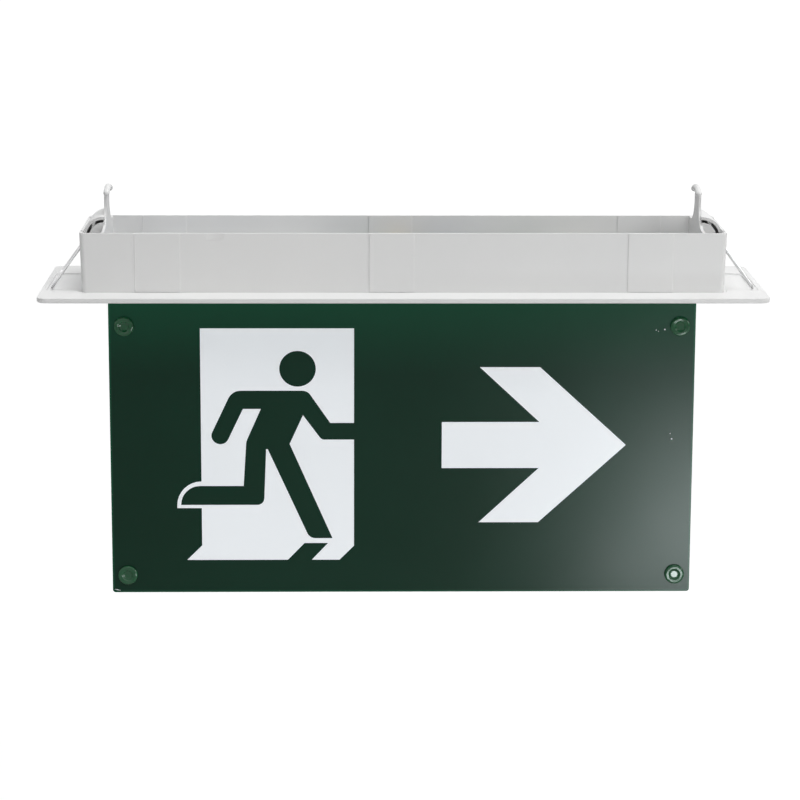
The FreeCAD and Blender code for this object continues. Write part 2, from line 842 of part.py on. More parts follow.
def battery_clip(side):
    """A sprung cradle, open at the top, with a peg in the floor."""
    x = cell_pack_place[0] + side * clip_spacing / 2
    y = cell_pack_place[1]
    inner = cell_diameter / 2 + cell_clip_gap
    outer = inner + clip_thickness
    axis = vec(1, 0, 0)
    base = vec(x - clip_length / 2, y, clip_axis_z)
    ring = Part.makeCylinder(outer, clip_length, base, axis)
    ring = ring.cut(Part.makeCylinder(inner, clip_length, base, axis))
    half = math.radians(clip_opening / 2)
    mouth = [
        (y, clip_axis_z),
        (y - 2 * outer * math.sin(half), clip_axis_z + 2 * outer * math.cos(half)),
        (y + 2 * outer * math.sin(half), clip_axis_z + 2 * outer * math.cos(half)),
    ]
    ring = ring.cut(profile_along_x(mouth, x - clip_length / 2 - cut_margin, clip_length + 2 * cut_margin))
    foot = box(clip_length, clip_foot_width, clip_axis_z, x, y, 0)
    foot = foot.cut(Part.makeCylinder(inner, clip_length, base, axis))
    peg = post(clip_peg_radius, clip_peg_length, x, y, -clip_peg_length)
    return ring.fuse(foot).fuse(peg).removeSplitter()


def driver_module():
    """Sealed LED driver with a fixing ear at each end."""
    x, y = driver_place
    length, depth, height = driver_size
    body = box(length, depth, height, x, y, driver_seat)
    upright = [e for e in body.Edges if abs(e.BoundBox.ZLength - height) < 0.001]
    body = body.makeFillet(driver_round, upright)
    full = length + 2 * driver_ear_length
    ears = box(full, driver_ear_width, driver_ear_thickness, x, y, driver_seat)
    module = body.fuse(ears)
    for fx, fy in driver_feet():
        ear_top = driver_seat + driver_ear_thickness
        module = module.cut(bore_down(screw_hole_radius, fx, fy, driver_seat, ear_top))
    return module.removeSplitter()


def small_screws(places, seat, through):
    screws = []
    for x, y in places:
        screws.append(
            pan_screw(
                small_screw_radius,
                small_screw_head_radius,
                small_screw_head_height,
                through + small_screw_bite - small_screw_tip_gap,
                x,
                y,
                seat + through,
            )
        )
    return screws


def control_board():
    x, y = control_board_place
    length, depth, height = control_board_size
    board = box(length, depth, height, x, y, standoff_height)
    for px, py in board_ends(control_board_size, control_board_place):
        board = board.cut(bore_down(screw_hole_radius, px, py, standoff_height, standoff_height + height))
    return board


def board_transformer():
    """Laminated core round a bobbin."""
    x = control_board_place[0] - control_board_size[0] / 2 + transformer_inset
    y = control_board_place[1]
    z = standoff_height + control_board_size[2]
    length, depth, height = transformer_size
    core = box(length, depth, height - 2 * core_gap, x, y, z + core_gap)
    bobbin = box(length * bobbin_share, depth + 2 * bobbin_proud, height, x, y, z)
    return core.fuse(bobbin).removeSplitter()


def board_relay():
    x = control_board_place[0] + relay_offset
    y = control_board_place[1]
    length, depth, height = relay_size
    body = box(length, depth, height, x, y, standoff_height + control_board_size[2])
    top = [e for e in body.Edges if e.BoundBox.ZMin > standoff_height + control_board_size[2] + height - 0.01]
    return body.makeFillet(relay_round, top)


def board_capacitors():
    z = standoff_height + control_board_size[2]
    right_end = control_board_place[0] + control_board_size[0] / 2
    found = []
    for inset in capacitor_insets:
        can = post(capacitor_radius, capacitor_height, right_end - inset, control_board_place[1], z)
        rim = [e for e in can.Edges if e.BoundBox.ZMin > z + capacitor_height - 0.01]
        found.append(can.makeFillet(capacitor_round, rim))
    return Part.makeCompound(found)


def terminal_block():
    """Four-way block: a wire mouth at each long side and a clamp screw well in the top of each way."""
    x, y = terminal_place
    length, depth, height = terminal_size
    block = box(length, depth, height, x, y, 0)
    pitch = length / terminal_ways
    mouth_width, mouth_height = terminal_mouth
    notch_width, notch_depth = terminal_notch
    through = depth + 2 * cut_margin
    well_radius = terminal_screw_radius + terminal_screw_clearance
    for k in range(terminal_ways):
        cx = x - length / 2 + pitch * (k + 0.5)
        block = block.cut(box(mouth_width, through, mouth_height, cx, y, terminal_mouth_height))
        block = block.cut(post(well_radius, height, cx, y, terminal_screw_seat))
        if k:
            edge = x - length / 2 + pitch * k
            block = block.cut(box(notch_width, through, notch_depth, edge, y, height - notch_depth))
    return block.removeSplitter()


def terminal_screws():
    x, y = terminal_place
    length, depth, height = terminal_size
    pitch = length / terminal_ways
    slot_width, slot_height = terminal_screw_slot
    top = height - terminal_screw_depth
    found = []
    for k in range(terminal_ways):
        cx = x - length / 2 + pitch * (k + 0.5)
        screw = post(terminal_screw_radius, top - terminal_screw_seat, cx, y, terminal_screw_seat)
        slot = box(2 * terminal_screw_radius + cut_margin, slot_width, slot_height, cx, y, top - slot_height)
        found.append(screw.cut(slot))
    return Part.makeCompound(found)


def cord_clamp():
    """Arched saddle on two posts, for the supply cable's sheath."""
    x, y = clamp_place
    z = clamp_post_height
    bar = box(clamp_length, clamp_span + 2 * clamp_post_radius, clamp_bar_thickness, x, y, z)
    axis = vec(1, 0, 0)
    start = vec(x - clamp_length / 2, y, z)
    arch = Part.makeCylinder(clamp_arch_radius + clamp_arch_wall, clamp_length, start, axis)
    arch = arch.common(box(clamp_length, 4 * clamp_arch_radius, 2 * clamp_arch_radius, x, y, z))
    bar = bar.fuse(arch).cut(Part.makeCylinder(clamp_arch_radius, clamp_length, start, axis))
    for px, py in clamp_posts():
        bar = bar.cut(bore_down(screw_hole_radius, px, py, z, z + clamp_bar_thickness))
    return bar.removeSplitter()


def button_levels():
    """Underside of the button's collar at rest, and the height of its top."""
    top = switch_board_height - switch_body[2] - switch_stem_length - switch_gap - button_travel
    return button_collar_lift, top


def test_button():
    """Round cap through the tray's floor, with a collar that keeps it in its bush."""
    x, y = button_place
    collar, top = button_levels()
    bottom = flange_bottom - bush_lip_thickness - button_proud
    cap = post(button_radius, collar - bottom, x, y, bottom)
    cap = cap.makeFillet(button_round, [e for e in cap.Edges if e.BoundBox.ZMax < bottom + 0.01])
    flange = post(button_flange_radius, button_flange_thickness, x, y, collar)
    stem = post(button_stem_radius, top - collar, x, y, collar)
    return cap.fuse(flange).fuse(stem).removeSplitter()


def button_bush():
    """Bezel bush pressed through the floor; its bore widens above for the collar."""
    x, y = button_place
    seat = button_levels()[0] - collar_gap
    bore = button_radius + button_clearance
    outer = bore + bush_wall
    lip_z = flange_bottom - bush_lip_thickness
    body = post(outer, seat - lip_z, x, y, lip_z)
    lip = post(outer + bush_lip, bush_lip_thickness, x, y, lip_z)
    lip = lip.makeChamfer(bush_lip_chamfer, [e for e in lip.Edges if e.BoundBox.ZMax < lip_z + 0.01])
    wide = button_flange_radius + bush_cup_gap
    cup = post(wide + bush_cup_wall, bush_rise, x, y, 0)
    cup = cup.cut(post(wide, bush_rise, x, y, seat))
    bush = body.fuse(cup).fuse(lip)
    return bush.cut(bore_down(bore, x, y, lip_z, bush_rise)).removeSplitter()


def coil(turns, pitch, radius, wire, x, y, z, axis):
    """A close-wound coil as one swept solid, along axis from the given end."""
    helix = Part.makeLongHelix(pitch, pitch * turns, radius)
    profile = Part.Wire([Part.makeCircle(wire, vec(radius, 0, 0), vec(0, radius, pitch / (2 * math.pi)))])
    solid = Part.Wire(helix).makePipeShell([profile], True, True)
    turn = FreeCAD.Rotation(vec(0, 0, 1), axis)
    solid.Placement = FreeCAD.Placement(vec(x, y, z), turn)
    return solid


def button_spring():
    """Return spring between the button's collar and the underside of the push switch."""
    x, y = button_place
    collar = button_levels()[0]
    end = return_spring_wire / 2 + return_spring_end_gap
    low = collar + button_flange_thickness + end
    high = switch_board_height - switch_body[2] - end
    pitch = (high - low) / return_spring_turns
    wire = return_spring_wire / 2
    return coil(return_spring_turns, pitch, return_spring_radius, wire, x, y, low, vec(0, 0, 1))


def switch_board():
    x, y = button_place
    length, depth, height = switch_board_size
    board = box(length, depth, height, x + lens_spacing / 2, y, switch_board_height)
    for px, py in switch_posts():
        board_top = switch_board_height + height
        board = board.cut(bore_down(screw_hole_radius, px, py, switch_board_height, board_top))
    return board


def push_switch():
    x, y = button_place
    length, depth, height = switch_body
    bottom = switch_board_height - height
    body = box(length, depth, height, x, y, bottom)
    stem = post(switch_stem_radius, switch_stem_length, x, y, bottom - switch_stem_length)
    return body.fuse(stem)


def charge_led():
    x, y = button_place
    bottom = switch_board_height - indicator_led_length
    lamp = post(indicator_led_radius, indicator_led_length, x + lens_spacing, y, bottom)
    rim = [e for e in lamp.Edges if e.BoundBox.ZMax < bottom + 0.01]
    return lamp.makeFillet(indicator_led_radius * 0.7, rim)


def charge_lens():
    """Clear light pipe with a domed end below the floor, up to just under the charge LED."""
    x, y = button_place
    top = switch_board_height - indicator_led_length - lens_led_gap
    pipe = post(lens_radius, top - flange_bottom, x + lens_spacing, y, flange_bottom)
    dome_radius = (lens_radius**2 + lens_dome**2) / (2 * lens_dome)
    centre = vec(x + lens_spacing, y, flange_bottom - lens_dome + dome_radius)
    dome = Part.makeSphere(dome_radius, centre)
    below = post(lens_radius, lens_dome, x + lens_spacing, y, flange_bottom - lens_dome)
    return pipe.fuse(dome.common(below)).removeSplitter()


def spring_pin():
    """Pin through both pocket ribs, with a peened head at each end."""
    half = leg_y + wire_radius + pin_end_gap
    pin = bar_along_y(pin_radius, 2 * half, pin_x, -half, pin_z)
    for y in (-half - pin_head_height, half):
        pin = pin.fuse(bar_along_y(pin_radius + pin_head_lip, pin_head_height, pin_x, y, pin_z))
    return pin.removeSplitter()


def bail_wire():
    """The loop: at each side an open eye on the pin and a leg, joined by the cross-bar on the flange."""
    along, start = leg_direction()
    pin = vec(pin_x, 0, pin_z)
    leave = math.atan2(start.z - pin.z, start.x - pin.x)
    wrap = math.radians(bail_eye_wrap)
    eye_end = pin + vec(math.cos(leave + wrap), 0, math.sin(leave + wrap)) * coil_mean_radius
    eye_mid = pin + vec(math.cos(leave + wrap / 2), 0, math.sin(leave + wrap / 2)) * coil_mean_radius
    corner = vec(bar_x, 0, bar_z)
    r = bail_corner_radius
    knee = r * (1 - math.sqrt(0.5))
    near = vec(0, -leg_y, 0)
    inward = vec(0, 1, 0)
    half_loop = [
        Part.Arc(eye_end + near, eye_mid + near, start + near).toShape(),
        Part.makeLine(start + near, corner - along * r + near),
        Part.Arc(
            corner - along * r + near,
            corner - along * knee + near + inward * knee,
            corner + near + inward * r,
        ).toShape(),
    ]
    far_loop = [edge.mirror(vec(0, 0, 0), vec(0, 1, 0)) for edge in reversed(half_loop)]
    bar = Part.makeLine(corner + near + inward * r, corner - near - inward * r)
    path = Part.Wire(Part.__sortEdges__(half_loop + [bar] + far_loop))
    tangent = vec(math.sin(leave + wrap), 0, -math.cos(leave + wrap))
    section = Part.Wire([Part.makeCircle(wire_radius, eye_end + near, tangent)])
    return path.makePipeShell([section], True, False)


def spring_coils():
    """Two coils on the pin, each with a straight anchor down inside the end wall."""
    pitch = wire_diameter + coil_gap
    inner = leg_y - wire_diameter - coil_gap - coil_turns * pitch
    found = []
    for side in (-1, 1):
        wound = coil(coil_turns, pitch, coil_mean_radius, wire_radius, 0, 0, 0, vec(0, 1, 0))
        wound.translate(vec(pin_x, inner, pin_z))
        anchor = Part.makeCylinder(
            wire_radius,
            anchor_length,
            vec(pin_x + coil_mean_radius, inner, pin_z),
            vec(0, 0, -1),
        )
        spring = wound.fuse(anchor)
        if side < 0:
            spring = spring.mirror(vec(0, 0, 0), vec(0, 1, 0))
        found.append(spring)
    return Part.makeCompound(found)


def build():
    os.makedirs("parts", exist_ok=True)
    save(recess_tray(), "recess_tray")
    save(light_guide(), "light_guide")
    save(legend_panel(-1), "front_legend_panel")
    save(legend_panel(1), "rear_legend_panel")
    save(push_rivets(-1), "front_rivets")
    save(push_rivets(1), "rear_rivets")
    save(light_rail(), "light_rail")
    save(led_board(), "led_board")
    save(leds(), "leds")
    save(guide_screws(), "guide_screws")
    save(battery_pack(), "battery_pack")
    save(battery_clip(-1), "left_battery_clip")
    save(battery_clip(1), "right_battery_clip")
    save(driver_module(), "driver_module")
    save(Part.makeCompound(small_screws(driver_feet(), driver_seat, driver_ear_thickness)), "driver_screws")
    save(control_board(), "control_board")
    board_fixings = board_ends(control_board_size, control_board_place)
    board_screws = small_screws(board_fixings, standoff_height, control_board_size[2])
    save(Part.makeCompound(board_screws), "board_screws")
    save(board_transformer(), "board_transformer")
    save(board_relay(), "board_relay")
    save(board_capacitors(), "board_capacitors")
    save(terminal_block(), "terminal_block")
    save(terminal_screws(), "terminal_screws")
    save(cord_clamp(), "cord_clamp")
    save(
        Part.makeCompound(small_screws(clamp_posts(), clamp_post_height, clamp_bar_thickness)),
        "clamp_screws",
    )
    save(test_button(), "test_button")
    save(button_bush(), "button_bush")
    save(button_spring(), "button_spring")
    save(switch_board(), "switch_board")
    save(
        Part.makeCompound(small_screws(switch_posts(), switch_board_height, switch_board_size[2])),
        "switch_screws",
    )
    save(push_switch(), "push_switch")
    save(charge_led(), "charge_led")
    save(charge_lens(), "charge_lens")
    for side, name in ((1, "right"), (-1, "left")):
        pieces = (("spring_pin", spring_pin()), ("bail_wire", bail_wire()), ("spring_coils", spring_coils()))
        for piece_name, piece in pieces:
            save(piece if side > 0 else mirrored(piece), name + "_" + piece_name)


build()
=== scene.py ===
import bpy
import math
from mathutils import Matrix, Vector


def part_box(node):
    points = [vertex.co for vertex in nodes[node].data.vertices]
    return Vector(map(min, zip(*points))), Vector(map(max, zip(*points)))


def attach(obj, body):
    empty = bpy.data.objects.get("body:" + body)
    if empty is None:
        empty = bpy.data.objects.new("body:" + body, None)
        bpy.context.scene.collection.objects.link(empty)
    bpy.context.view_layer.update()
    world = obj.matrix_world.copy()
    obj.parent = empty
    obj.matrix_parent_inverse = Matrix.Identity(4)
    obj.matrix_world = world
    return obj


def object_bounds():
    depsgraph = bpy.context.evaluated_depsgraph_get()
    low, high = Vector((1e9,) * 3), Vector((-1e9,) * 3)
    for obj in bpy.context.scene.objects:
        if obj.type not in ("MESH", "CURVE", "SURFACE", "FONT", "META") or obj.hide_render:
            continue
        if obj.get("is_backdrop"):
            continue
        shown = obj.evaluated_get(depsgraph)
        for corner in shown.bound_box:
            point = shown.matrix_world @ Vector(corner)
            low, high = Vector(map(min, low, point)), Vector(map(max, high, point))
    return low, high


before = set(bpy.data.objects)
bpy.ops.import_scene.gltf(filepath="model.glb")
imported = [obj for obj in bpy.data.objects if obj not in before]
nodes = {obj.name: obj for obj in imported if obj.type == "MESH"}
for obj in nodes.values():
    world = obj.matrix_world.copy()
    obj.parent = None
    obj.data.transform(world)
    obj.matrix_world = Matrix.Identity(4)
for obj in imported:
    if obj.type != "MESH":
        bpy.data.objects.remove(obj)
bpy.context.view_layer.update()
mm = 0.001
print("frame loaded,", len(nodes), "parts")


# the camera, with its angles in degrees
cameraLook = {
    "place": (-27.09 * mm, -1307.9 * mm, 245.1 * mm),
    "pitchDown": 11.1,
    "turn": -1.13,
    "roll": 0.22,
    "sensorWidth": 36,
    "lens": 117.34,
    "shiftY": -0.12,
    "clip": (0.01, 60),
}


def addCamera(look):
    bpy.ops.object.camera_add(location=look["place"])
    camera = bpy.context.object
    turn = Matrix.Rotation(math.radians(look["turn"]), 4, "Z")
    tilt = Matrix.Rotation(math.radians(90 - look["pitchDown"]), 4, "X")
    roll = Matrix.Rotation(math.radians(look["roll"]), 4, "Z")
    camera.matrix_world = Matrix.Translation(look["place"]) @ turn @ tilt @ roll
    camera.data.sensor_width = look["sensorWidth"]
    camera.data.lens = look["lens"]
    camera.data.shift_y = look["shiftY"]
    camera.data.clip_start, camera.data.clip_end = look["clip"]
    bpy.context.scene.camera = camera


addCamera(cameraLook)
print("camera set")


# Helpers for node trees. The first argument owns the tree: a material, or the world.
black = (0.0, 0.0, 0.0, 1.0)
white = (1.0, 1.0, 1.0, 1.0)
noiseSpan = (0.3, 0.7)  # most of a noise texture's values lie between these
softStart = 0.75  # where a band's soft edge begins, as a share of its half width


def newMaterial(name):
    material = bpy.data.materials.new(name)
    material.use_nodes = True
    return material


def addNode(owner, kind, **values):
    node = owner.node_tree.nodes.new(kind)
    for key, value in values.items():
        setattr(node, key, value)
    return node


def join(owner, output, target):
    owner.node_tree.links.new(output, target)


def objectPlace(owner, stretch=(1, 1, 1)):
    coordinates = addNode(owner, "ShaderNodeTexCoord")
    mapping = addNode(owner, "ShaderNodeMapping")
    mapping.inputs["Scale"].default_value = stretch
    join(owner, coordinates.outputs["Object"], mapping.inputs["Vector"])
    return mapping.outputs["Vector"]


def noise(owner, place, scale, detail=2.0):
    node = addNode(owner, "ShaderNodeTexNoise")
    node.inputs["Scale"].default_value = scale
    node.inputs["Detail"].default_value = detail
    join(owner, place, node.inputs["Vector"])
    return node.outputs["Fac"]


def remap(owner, value, low, high, newLow, newHigh):
    node = addNode(owner, "ShaderNodeMapRange")
    limits = {"From Min": low, "From Max": high, "To Min": newLow, "To Max": newHigh}
    for key, number in limits.items():
        node.inputs[key].default_value = number
    join(owner, value, node.inputs["Value"])
    return node.outputs["Result"]


def maths(owner, operation, first, second=0.0):
    node = addNode(owner, "ShaderNodeMath", operation=operation)
    for socket, value in zip(node.inputs, (first, second)):
        if isinstance(value, (int, float)):
            socket.default_value = value
        else:
            join(owner, value, socket)
    return node.outputs["Value"]


def axisOf(owner, place, axis):
    node = addNode(owner, "ShaderNodeSeparateXYZ")
    join(owner, place, node.inputs["Vector"])
    return node.outputs[axis]


def nearTo(owner, value, centre, halfWidth):
    # 1 inside a band, 0 outside, with a soft edge
    distance = maths(owner, "ABSOLUTE", maths(owner, "SUBTRACT", value, centre))
    return remap(owner, distance, halfWidth * softStart, halfWidth, 1.0, 0.0)


def blend(owner, factor, first, second):
    node = addNode(owner, "ShaderNodeMix", data_type="RGBA")
    for socket, value in ((node.inputs[0], factor), (node.inputs[6], first), (node.inputs[7], second)):
        if isinstance(value, (int, float)):
            socket.default_value = value
        elif isinstance(value, tuple):
            socket.default_value = (*value, 1.0)
        else:
            join(owner, value, socket)
    return node.outputs[2]


def shaderOf(material):
    return material.node_tree.nodes["Principled BSDF"]


def colourWhere(material, mask, colour):
    # lays a colour over what the base colour already shows
    base = shaderOf(material).inputs["Base Color"]
    join(material, blend(material, mask, base.links[0].from_socket, colour), base)


def addBump(material, height, strength, distance, normal=None):
    bump = addNode(material, "ShaderNodeBump")
    bump.inputs["Strength"].default_value = strength
    bump.inputs["Distance"].default_value = distance
    join(material, height, bump.inputs["Height"])
    if normal is not None:
        join(material, normal, bump.inputs["Normal"])
    join(material, bump.outputs["Normal"], shaderOf(material).inputs["Normal"])


def roundedEdges(material, radius):
    node = addNode(material, "ShaderNodeBevel", samples=4)
    node.inputs["Radius"].default_value = radius
    return node.outputs["Normal"]


def finishSurface(name, look):
    # one finish from one dictionary: two close colours, a roughness range, a fine grain
    material = newMaterial(name)
    shader = shaderOf(material)
    place = objectPlace(material, look.get("stretch", (1, 1, 1)))
    patches = noise(material, place, look["patchScale"], detail=3.0)
    grain = noise(material, place, look["grainScale"])
    patchMask = remap(material, patches, *noiseSpan, 0.0, 1.0)
    colour = blend(material, patchMask, look["colour"], look["secondColour"])
    join(material, colour, shader.inputs["Base Color"])
    join(material, remap(material, patches, *noiseSpan, *look["roughness"]), shader.inputs["Roughness"])
    shader.inputs["Metallic"].default_value = look.get("metallic", 0.0)
    shader.inputs["Specular IOR Level"].default_value = look.get("specular", 0.5)
    shader.inputs["Coat Weight"].default_value = look.get("coat", 0.0)
    shader.inputs["Coat Roughness"].default_value = look.get("coatRoughness", 0.1)
    shader.inputs["Transmission Weight"].default_value = look.get("transmission", 0.0)
    shader.inputs["IOR"].default_value = look.get("ior", 1.5)
    normal = roundedEdges(material, look["edgeRadius"]) if "edgeRadius" in look else None
    addBump(material, grain, look["grainStrength"], look["grainDepth"], normal)
    return material


def paint(node, material):
    mesh = nodes[node].data
    if not mesh.materials:
        mesh.materials.append(material)
    for index in range(len(mesh.materials)):
        mesh.materials[index] = material


# White moulding: the tray with its flange and ears. Faint upright lines of painted shade and painted
# highlight cross its long walls, the shaded and the lit edges of shallow raised bands, each given by its
# place along the sign and half width, in millimetres, and its strength.
trayLook = {
    "colour": (0.80, 0.80, 0.795),
    "secondColour": (0.775, 0.777, 0.775),
    "roughness": (0.36, 0.46),
    "patchScale": 14.0,
    "grainScale": 2600.0,
    "grainStrength": 0.12,
    "grainDepth": 0.00006,
    "specular": 0.42,
    "edgeRadius": 0.00035,
    "linesFadeIn": (0.5, 1.5),  # heights above the ceiling plane, in millimetres
    "paintedShadeTint": (0.5, 0.5, 0.5),
    "paintedShadeLines": [(-17.0, 0.7, 0.04), (112.0, 0.8, 0.06)],
    "paintedHighlightTint": (1.0, 1.0, 1.0),
    "paintedHighlightLines": [
        (-15.6, 0.8, 0.05),
        (5.0, 0.6, 0.10),
        (134.5, 0.6, 0.10),
        (-111.5, 0.7, 0.10),
        (-134.1, 0.7, 0.30),
    ],
}


def trayFinish(look):
    material = finishSurface("whiteMoulding", look)
    place = objectPlace(material)
    x = axisOf(material, place, "X")
    z = axisOf(material, place, "Z")
    start, full = look["linesFadeIn"]
    above = remap(material, z, start * mm, full * mm, 0.0, 1.0)
    # painted shade and painted highlight: darker lines for the bands' shaded edges, lighter lines for their
    # lit edges
    for lines, tint in ((look["paintedShadeLines"], look["paintedShadeTint"]), (look["paintedHighlightLines"], look["paintedHighlightTint"])):
        for middle, half, strength in lines:
            band = nearTo(material, x, middle * mm, half * mm)
            mask = maths(material, "MULTIPLY", maths(material, "MULTIPLY", band, above), strength)
            colourWhere(material, mask, tint)
    return material


paint("recess_tray", trayFinish(trayLook))
print("tray painted")


# The legend panels and their print. The edge-lit acrylic behind them shows through a little.
greenLook = {
    "colour": (0.0008, 0.0250, 0.0118),
    "secondColour": (0.0012, 0.0300, 0.0150),
    "roughness": (0.22, 0.27),
    "patchScale": 9.0,
    "grainScale": 900.0,
    "grainStrength": 0.03,
    "grainDepth": 0.00002,
    "specular": 0.15,
}
whiteLook = {
    "colour": (0.80, 0.83, 0.86),
    "secondColour": (0.785, 0.815, 0.845),
    "roughness": (0.20, 0.24),
    "patchScale": 30.0,
    "grainScale": 1500.0,
    "grainStrength": 0.03,
    "grainDepth": 0.00002,
    "specular": 0.2,
}
glowLook = {
    "panelColour": (0.03, 1.0, 0.45, 1.0),
    "topStrength": 0.026,  # at the panel's top edge, gone below the reach
    "topReach": 0.045,
    "sideStrength": 0.045,  # along the sheet's cut sides and foot
    "sideWidth": 0.0012,
    "whiteColour": (0.93, 0.97, 1.0, 1.0),
    "whiteStrength": 0.26,
}


def glowAtEdges(material, look):
    low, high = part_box("front_legend_panel")
    place = objectPlace(material)
    z = axisOf(material, place, "Z")
    x = maths(material, "ABSOLUTE", axisOf(material, place, "X"))
    top = remap(material, z, high.z - look["topReach"], high.z, 0.0, look["topStrength"])
    side = remap(material, x, high.x - look["sideWidth"], high.x, 0.0, look["sideStrength"])
    foot = remap(material, z, low.z, low.z + look["sideWidth"], look["sideStrength"], 0.0)
    edges = maths(material, "MAXIMUM", side, foot)
    shader = shaderOf(material)
    shader.inputs["Emission Color"].default_value = look["panelColour"]
    join(material, maths(material, "ADD", top, edges), shader.inputs["Emission Strength"])


def glowEvenly(material, look):
    shader = shaderOf(material)
    shader.inputs["Emission Color"].default_value = look["whiteColour"]
    shader.inputs["Emission Strength"].default_value = look["whiteStrength"]


panelGreen = finishSurface("panelGreen", greenLook)
legendGreen = finishSurface("legendGreen", greenLook)
legendWhite = finishSurface("legendWhite", whiteLook)
glowAtEdges(panelGreen, glowLook)
glowEvenly(legendWhite, glowLook)
for panel in ("front_legend_panel", "rear_legend_panel"):
    paint(panel, panelGreen)

# Outlines in millimetres: across from the blade's middle, up from its lower edge, corner radius.
legendShapes = {
    "whiteThickness": 0.05,
    "rimThickness": 0.04,
    "greenThickness": 0.08,
    "sunkIn": 0.03,
    "mergeReach": 0.001,
    "door": [
        (-103.4, 140, 0), (-24.8, 140, 0), (-24.8, 24.9, 0), (-32.3, 17.4, 0), (-111.2, 17.4, 0),
        (-103.4, 25.2, 0),
    ],
    "footRim": [(-103.2, 59.4, 0), (-116, 59.4, 12.6), (-116, 45.2, 0), (-103.2, 45.2, 0)],
    "arrow": [
        (115.4, 78.6, 0), (70.6, 119.7, 0), (39.7, 119.7, 0), (70.6, 90.8, 0), (20.4, 90.8, 0),
        (20.4, 66.4, 0), (70.6, 66.4, 0), (39.7, 37.4, 0), (70.6, 37.4, 0),
    ],
    "figure": [
        (-87.3, 107.4, 7.0), (-99.5, 81.6, 4.4), (-91.4, 77.7, 4.4), (-81.8, 97.8, 0), (-72.6, 97.8, 0),
        (-80.2, 80.6, 8.0), (-81.7, 57.0, 0), (-114, 57.0, 9.9), (-114, 46.9, 0), (-71.2, 46.9, 3.6),
        (-70.0, 76.6, 0.4), (-69.2, 76.6, 0.4), (-47.7, 29.0, 4.5), (-35.9, 29.0, 0), (-57.9, 79.3, 0),
        (-51.0, 94.5, 0), (-41.5, 81.6, 3.0), (-24.0, 81.6, 0), (-24.0, 90.4, 0), (-37.0, 90.4, 0),
        (-48.7, 107.4, 5.0),
    ],
    "footShade": [(-50.4, 26.4, 0), (-38.2, 26.4, 0), (-47.4, 16.6, 0), (-59.8, 16.6, 0)],
    "headCentre": (-53.7, 118.9),
    "headRadius": 9.35,
    "cornerSteps": 8,
    "headSteps": 56,
}


def roundOutline(corners, steps):
    # replaces each corner that has a radius by its arc
    points = []
    count = len(corners)
    for k in range(count):
        x, y, radius = corners[k]
        here = Vector((x, y))
        if radius == 0:
            points.append(here)
            continue
        before = (Vector(corners[k - 1][:2]) - here).normalized()
        after = (Vector(corners[(k + 1) % count][:2]) - here).normalized()
        half = before.angle(after) / 2
        reach = radius / math.tan(half)
        centre = here + (before + after).normalized() * (radius / math.sin(half))
        first = here + before * reach - centre
        last = here + after * reach - centre
        sweep = first.angle_signed(last)
        for step in range(steps + 1):
            turned = Matrix.Rotation(-sweep * step / steps, 2) @ first
            points.append(centre + turned)
    return points


def discOutline(centre, radius, steps):
    middle = Vector(centre)
    angles = [2 * math.pi * k / steps for k in range(steps)]
    return [middle + radius * Vector((math.cos(angle), math.sin(angle))) for angle in angles]


def filledSheet(name, outlines, thickness):
    # a flat curve, filled and thickened, then made a mesh
    curve = bpy.data.curves.new(name, "CURVE")
    curve.dimensions = "2D"
    curve.fill_mode = "BOTH"
    curve.extrude = thickness / 2 * mm
    for outline in outlines:
        spline = curve.splines.new("POLY")
        spline.points.add(len(outline) - 1)
        for point, place in zip(spline.points, outline):
            point.co = (place.x * mm, place.y * mm, 0, 1)
        spline.use_cyclic_u = True
    piece = bpy.data.objects.new(name, curve)
    bpy.context.scene.collection.objects.link(piece)
    bpy.ops.object.select_all(action="DESELECT")
    piece.select_set(True)
    bpy.context.view_layer.objects.active = piece
    bpy.ops.object.convert(target="MESH")
    return bpy.context.object


def flatPrint(name, outlines, thickness, side, material):
    # stands a filled sheet on the outer face of one legend panel
    low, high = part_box(side + "_legend_panel")
    face = low.y if side == "front" else high.y
    outward = -1 if side == "front" else 1
    sunk = legendShapes["sunkIn"]
    piece = filledSheet(name, outlines, thickness + sunk)
    middle = face + outward * (thickness - sunk) / 2 * mm
    standUp = Matrix.Rotation(math.radians(90), 4, "X")
    piece.data.transform(Matrix.Translation((0, middle, low.z)) @ standUp)
    bpy.ops.object.mode_set(mode="EDIT")
    bpy.ops.mesh.select_all(action="SELECT")
    bpy.ops.mesh.remove_doubles(threshold=legendShapes["mergeReach"] * mm)
    bpy.ops.mesh.normals_make_consistent(inside=False)
    bpy.ops.object.mode_set(mode="OBJECT")
    piece.data.materials.clear()
    piece.data.materials.append(material)
    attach(piece, "housing")


def addLegend(side, shapes):
    steps = shapes["cornerSteps"]
    whites = [roundOutline(shapes[key], steps) for key in ("door", "arrow")]
    flatPrint(side + "DoorAndArrow", whites, shapes["whiteThickness"], side, legendWhite)
    rim = roundOutline(shapes["footRim"], steps)
    flatPrint(side + "FootRim", [rim], shapes["rimThickness"], side, legendWhite)
    greens = [roundOutline(shapes[key], steps) for key in ("figure", "footShade")]
    greens.append(discOutline(shapes["headCentre"], shapes["headRadius"], shapes["headSteps"]))
    flatPrint(side + "Figure", greens, shapes["greenThickness"], side, legendGreen)


addLegend("front", legendShapes)
addLegend("rear", legendShapes)

# A few specks of dust on the front panel, each across, up and radius, and a scratch at its lower corner.
wearLook = {
    "specks": [
        (129.8, 139.1, 0.24),
        (131.0, 138.4, 0.18),
        (134.2, 139.4, 0.36),
        (139.0, 81.8, 0.36),
        (138.2, 84.6, 0.22),
    ],
    "speckSteps": 7,
    "scratch": [(-149.3, 1.7, 0), (-147.6, 1.2, 0), (-145.9, 0.9, 0), (-147.5, 1.5, 0)],
    "thickness": 0.04,
}


def addWear(look):
    outlines = [discOutline((x, z), radius, look["speckSteps"]) for x, z, radius in look["specks"]]
    outlines.append(roundOutline(look["scratch"], 1))
    flatPrint("panelDust", outlines, look["thickness"], "front", legendWhite)


addWear(wearLook)
print("legends printed")


